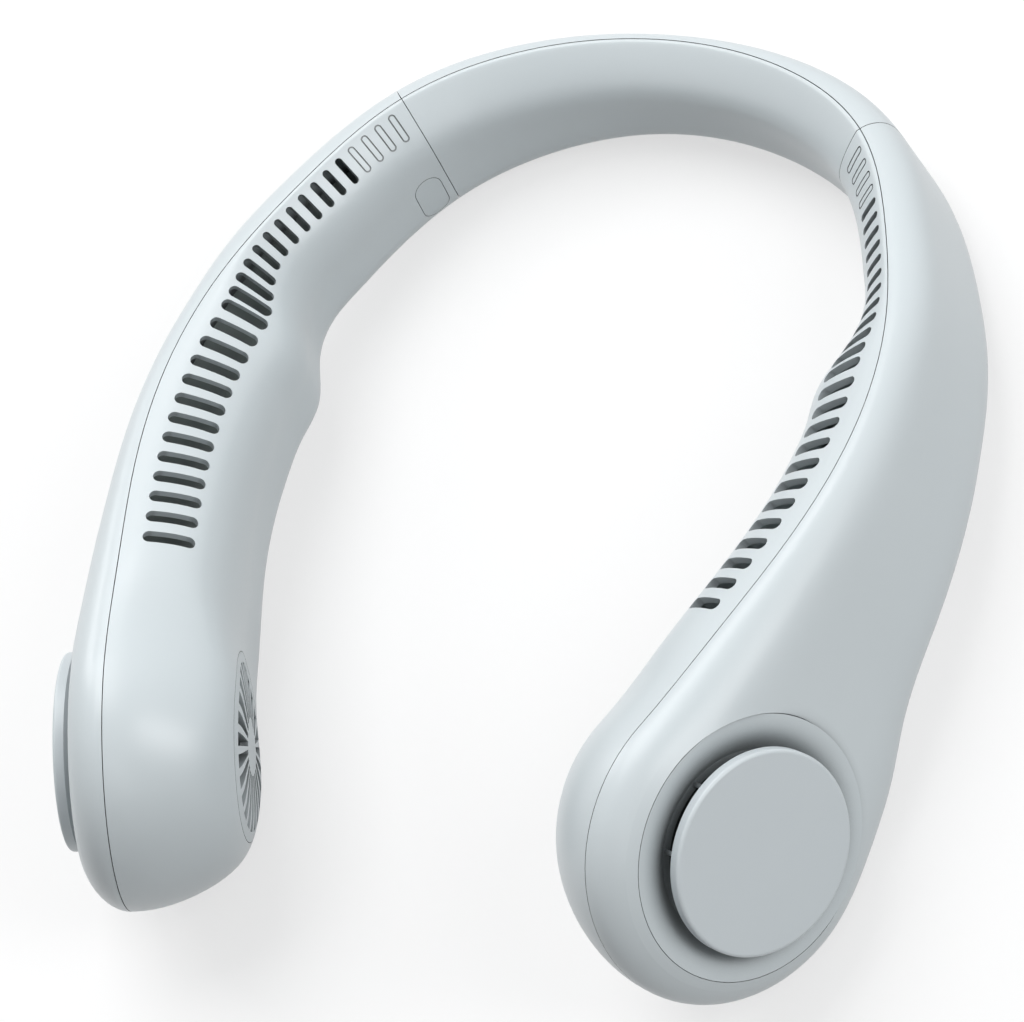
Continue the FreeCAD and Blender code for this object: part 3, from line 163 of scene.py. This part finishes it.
# Intake dish and cap: the rolled ring let into each head, and the flat round cap that stands on
# posts over the air gap. Moulded in the cover plastic; the cap's face is the smoothest part.
# The dish's wider gap reach paints shade over the rolled ring next to the cap.
dish_plastic = finish_from_group(
    "dish_plastic", moulded_skin_and_gap_shade,
    {"Tone": (0.640, 0.694, 0.714), "Deep Tone": (0.622, 0.677, 0.698), "Grain Scale": 2600.0,
     "Gap Reach": 0.008, "Gap Shade": 0.27, "Rough Low": 0.36, "Rough High": 0.44},
    depth=0.000004, shader_values={"IOR": 1.50})
dress(dish_plastic, *both("intake_dish"))
cap_plastic = finish_from_group(
    "cap_plastic", moulded_skin_and_gap_shade,
    {"Tone": (0.638, 0.690, 0.714), "Deep Tone": (0.624, 0.677, 0.702), "Grain Scale": 3000.0,
     "Gap Shade": 0.27, "Rough Low": 0.33, "Rough High": 0.40},
    depth=0.000003, shader_values={"IOR": 1.50})
dress(cap_plastic, *both("intake_cap"))


# Inner mouldings: motor bracket, duct plate, band sleeve, wheel and switch body. Grey and black
# ABS and nylon straight from the tool, with a coarser grain than the covers.
inner_plastic = finish_from_group(
    "inner_plastic", moulded_skin_and_gap_shade,
    {"Tone": (0.320, 0.355, 0.346), "Deep Tone": (0.270, 0.302, 0.294), "Grain Scale": 1500.0,
     "Rough Low": 0.46, "Rough High": 0.60},
    depth=0.00001, shader_values={"IOR": 1.48})
dress(inner_plastic, *both("duct_plate", "band_sleeve", "motor_bracket"))
wheel_plastic = finish_from_group(
    "wheel_plastic", moulded_skin_and_gap_shade,
    {"Tone": (0.030, 0.033, 0.034), "Deep Tone": (0.022, 0.024, 0.025), "Grain Scale": 1800.0,
     "Rough Low": 0.38, "Rough High": 0.50},
    depth=0.000006, shader_values={"IOR": 1.50})
dress(wheel_plastic, *both("impeller"))
switch_plastic = finish_from_group(
    "switch_plastic", moulded_skin_and_gap_shade,
    {"Tone": (0.018, 0.018, 0.019), "Deep Tone": (0.013, 0.013, 0.014), "Grain Scale": 2400.0,
     "Rough Low": 0.40, "Rough High": 0.52},
    depth=0.000005, shader_values={"IOR": 1.50})
dress(switch_plastic, "button_switch")


# Motor metal: a drawn and plated rotor cup, ground shafts, bearings, screws and the socket's shell.
# Each keeps the fine lines that drawing, grinding or rolling leaves.
worked_metal, metal_in, metal_out = node_group(
    "worked_metal",
    [("Tone", "NodeSocketColor", (0.6, 0.6, 0.6, 1)),
     ("Deep Tone", "NodeSocketColor", (0.5, 0.5, 0.5, 1)),
     ("Line Scale", "NodeSocketFloat", 900.0), ("Rough Low", "NodeSocketFloat", 0.22),
     ("Rough High", "NodeSocketFloat", 0.38)],
    FINISH_OUTPUTS)
metal_place = add_node(worked_metal, "ShaderNodeTexCoord")
metal_stretch = add_node(worked_metal, "ShaderNodeMapping", Scale=(0.08, 0.3, 1.0))
metal_lines = add_node(worked_metal, "ShaderNodeTexNoise", Detail=4.0, Roughness=0.65)
metal_cloud = add_node(worked_metal, "ShaderNodeTexNoise", Scale=140.0, Detail=2.0)
worked_metal.links.new(metal_place.outputs["Object"], metal_stretch.inputs["Vector"])
worked_metal.links.new(metal_stretch.outputs["Vector"], metal_lines.inputs["Vector"])
worked_metal.links.new(metal_in.outputs["Line Scale"], metal_lines.inputs["Scale"])
worked_metal.links.new(metal_place.outputs["Object"], metal_cloud.inputs["Vector"])
metal_share = spread(worked_metal, metal_cloud.outputs["Fac"], 0.0, 1.0)
metal_colour = blend_colours(worked_metal, metal_share, metal_in.outputs["Tone"],
                             metal_in.outputs["Deep Tone"])
metal_rough = spread(worked_metal, metal_lines.outputs["Fac"], metal_in.outputs["Rough Low"],
                     metal_in.outputs["Rough High"])
worked_metal.links.new(metal_colour, metal_out.inputs["Colour"])
worked_metal.links.new(metal_rough, metal_out.inputs["Roughness"])
worked_metal.links.new(metal_lines.outputs["Fac"], metal_out.inputs["Height"])

plated_steel = finish_from_group(
    "plated_steel", worked_metal,
    {"Tone": (0.60, 0.61, 0.62), "Deep Tone": (0.52, 0.53, 0.55), "Line Scale": 700.0},
    depth=0.000004, shader_values={"Metallic": 1.0})
dress(plated_steel, *both("rotor_bell", "bracket_screws"))
ground_steel = finish_from_group(
    "ground_steel", worked_metal,
    {"Tone": (0.70, 0.70, 0.70), "Deep Tone": (0.62, 0.62, 0.63), "Line Scale": 1400.0,
     "Rough Low": 0.12, "Rough High": 0.24},
    depth=0.000002, shader_values={"Metallic": 1.0})
dress(ground_steel, *both("motor_shaft", "motor_bearings"), "usb_c_port")


# Stator and magnet: the stator is a stack of thin varnished laminations, the magnet a ring of
# bonded ferrite glued into the cup. Both are dull and dark beside the plated parts.
stator_varnish = finish_from_group(
    "stator_varnish", worked_metal,
    {"Tone": (0.36, 0.19, 0.09), "Deep Tone": (0.25, 0.13, 0.06), "Line Scale": 2200.0,
     "Rough Low": 0.32, "Rough High": 0.50},
    depth=0.000015, shader_values={"Metallic": 0.5})
dress(stator_varnish, *both("motor_stator"))
magnet_ferrite = finish_from_group(
    "magnet_ferrite", moulded_skin_and_gap_shade,
    {"Tone": (0.045, 0.045, 0.048), "Deep Tone": (0.030, 0.030, 0.033), "Grain Scale": 3500.0,
     "Cloud Scale": 400.0, "Rough Low": 0.55, "Rough High": 0.75},
    depth=0.00001, shader_values={"IOR": 1.9})
dress(magnet_ferrite, *both("rotor_magnet"))


# Battery, leads and board: round cells in shrunk film, soft jacketed leads through the arms and the
# band, and one small board with a solder mask over its copper.
cell_film = finish_from_group(
    "cell_film", moulded_skin_and_gap_shade,
    {"Tone": (0.035, 0.105, 0.205), "Deep Tone": (0.028, 0.088, 0.18), "Grain Scale": 300.0,
     "Cloud Scale": 60.0, "Rough Low": 0.20, "Rough High": 0.32},
    depth=0.00003, shader_values={"IOR": 1.53})
dress(cell_film, *both("battery"))
lead_jacket = finish_from_group(
    "lead_jacket", moulded_skin_and_gap_shade,
    {"Tone": (0.020, 0.020, 0.021), "Deep Tone": (0.014, 0.014, 0.015), "Grain Scale": 1200.0,
     "Rough Low": 0.48, "Rough High": 0.62},
    depth=0.00001, shader_values={"IOR": 1.52})
dress(lead_jacket, *both("motor_lead"), "rear_lead")
board_mask = finish_from_group(
    "board_mask", moulded_skin_and_gap_shade,
    {"Tone": (0.012, 0.085, 0.036), "Deep Tone": (0.018, 0.115, 0.048), "Grain Scale": 900.0,
     "Cloud Scale": 500.0, "Rough Low": 0.24, "Rough High": 0.36},
    depth=0.00001, shader_values={"IOR": 1.55})
dress(board_mask, "control_board")


# Floor: a plain pale studio sweep. The camera sees it near white with the fan's soft shadow and
# plain white farther out. Other rays see a greyer board, so that little light comes back up.
def seen_share(tree):
    """One for rays that end in the picture: seen straight, mirrored or through something clear."""
    rays = add_node(tree, "ShaderNodeLightPath")
    share = rays.outputs["Is Camera Ray"]
    for kind in ("Is Glossy Ray", "Is Transmission Ray"):
        total = add_node(tree, "ShaderNodeMath", {"operation": "ADD", "use_clamp": True})
        tree.links.new(share, total.inputs[0])
        tree.links.new(rays.outputs[kind], total.inputs[1])
        share = total.outputs[0]
    return share


floor_mesh = bpy.data.meshes.new("floor")
floor_reach = 6.0
floor_level = -0.0003
floor_mesh.from_pydata(
    [(-floor_reach, -floor_reach, floor_level), (floor_reach, -floor_reach, floor_level),
     (floor_reach, floor_reach, floor_level), (-floor_reach, floor_reach, floor_level)],
    [], [(0, 1, 2, 3)])
floor = bpy.data.objects.new("floor", floor_mesh)
bpy.context.scene.collection.objects.link(floor)
floor_paper = bpy.data.materials.new("floor_paper")
floor_paper.use_nodes = True
paper_tree = floor_paper.node_tree
paper_shader = paper_tree.nodes["Principled BSDF"]
paper_shader.inputs["Roughness"].default_value = 0.9
paper_shader.inputs["Specular IOR Level"].default_value = 0.1
paper_place = add_node(paper_tree, "ShaderNodeTexCoord")
paper_noise = add_node(paper_tree, "ShaderNodeTexNoise", Scale=3.0, Detail=2.0)
paper_tree.links.new(paper_place.outputs["Object"], paper_noise.inputs["Vector"])
paper_white = blend_colours(paper_tree, paper_noise.outputs["Fac"], (0.97, 0.97, 0.97),
                            (0.99, 0.99, 0.99))
paper_ray = seen_share(paper_tree)
paper_colour = blend_colours(paper_tree, paper_ray, (0.38, 0.38, 0.38), paper_white)
paper_tree.links.new(paper_colour, paper_shader.inputs["Base Color"])
paper_glow = add_node(paper_tree, "ShaderNodeEmission", Color=(1, 1, 1, 1), Strength=1.0)
paper_reach = add_node(paper_tree, "ShaderNodeVectorMath", {"operation": "LENGTH"})
shadow_reach, white_reach = 0.3, 0.9
paper_lift = add_node(paper_tree, "ShaderNodeMath", {"operation": "MULTIPLY"})
paper_cover = add_node(paper_tree, "ShaderNodeMixShader")
paper_tree.links.new(paper_place.outputs["Object"], paper_reach.inputs[0])
paper_fade = spread(paper_tree, paper_reach.outputs["Value"], 0.62, 1.0, start=shadow_reach,
                    end=white_reach)
paper_tree.links.new(paper_fade, paper_lift.inputs[1])
paper_tree.links.new(paper_ray, paper_lift.inputs[0])
paper_tree.links.new(paper_lift.outputs[0], paper_cover.inputs[0])
paper_tree.links.new(paper_shader.outputs[0], paper_cover.inputs[1])
paper_tree.links.new(paper_glow.outputs[0], paper_cover.inputs[2])
paper_tree.links.new(paper_cover.outputs[0], paper_tree.nodes["Material Output"].inputs["Surface"])
floor_mesh.materials.append(floor_paper)


# Studio light: a pale room, dimmer towards the fan's open end, with four soft boxes: a broad one
# overhead, one at the right, a weaker one at the left and a narrow strip in front for the heads.
world = bpy.data.worlds.new("studio")
bpy.context.scene.world = world
world.use_nodes = True
room = world.node_tree
room.nodes.clear()
room_out = add_node(room, "ShaderNodeOutputWorld")
room_light = add_node(room, "ShaderNodeBackground", Color=(0.96, 0.98, 1.0, 1))
room_place = add_node(room, "ShaderNodeTexCoord")
room_axes = add_node(room, "ShaderNodeSeparateXYZ")
room.links.new(room_place.outputs["Generated"], room_axes.inputs[0])
front_light, rear_light = 0.14, 0.50
room_fall = spread(room, room_axes.outputs["Y"], front_light, rear_light, start=-1.0, end=1.0)
room.links.new(room_fall, room_light.inputs["Strength"])
room_white = add_node(room, "ShaderNodeBackground", Color=(1, 1, 1, 1), Strength=1.0)
room_mix = add_node(room, "ShaderNodeMixShader")
room.links.new(seen_share(room), room_mix.inputs[0])
room.links.new(room_light.outputs[0], room_mix.inputs[1])
room.links.new(room_white.outputs[0], room_mix.inputs[2])
room.links.new(room_mix.outputs[0], room_out.inputs[0])


fan_middle = Vector((0, 0, 0.03))


def soft_box(name, power, width, height, place):
    """A rectangular lamp that faces the middle of the fan."""
    lamp = bpy.data.lights.new(name, "AREA")
    lamp.shape = "RECTANGLE"
    lamp.size = width
    lamp.size_y = height
    lamp.energy = power
    box = bpy.data.objects.new(name, lamp)
    box.location = place
    box.rotation_euler = (fan_middle - Vector(place)).to_track_quat("-Z", "Y").to_euler()
    bpy.context.scene.collection.objects.link(box)


soft_box("overhead", power=13.2, width=0.9, height=1.1, place=(-0.30, 0.58, 1.35))
soft_box("fill", power=7.9, width=0.5, height=1.0, place=(1.20, 0.05, 0.85))
soft_box("side", power=4.4, width=0.4, height=0.9, place=(-1.15, 0.45, 0.85))
soft_box("strip", power=0.9, width=0.12, height=0.7, place=(0.65, -0.85, 1.05))


# Camera: a long lens above the front right of the fan, rolled so that the open end points down the
# picture as in the photograph. Its place was solved from the two mirrored arms.
camera_data = bpy.data.cameras.new("camera")
camera_data.sensor_fit = "HORIZONTAL"
camera_data.sensor_width = 36.0
camera_data.lens = 175.78
camera_data.clip_start = 0.05
camera_data.clip_end = 50.0
camera = bpy.data.objects.new("camera", camera_data)
camera.location = (0.53868, -0.34340, 0.91681)
camera.rotation_euler = Euler([math.radians(turn) for turn in (26.3507, 24.8871, 17.8349)])
bpy.context.scene.collection.objects.link(camera)
bpy.context.scene.camera = camera
bpy.context.scene.view_settings.view_transform = "Standard"
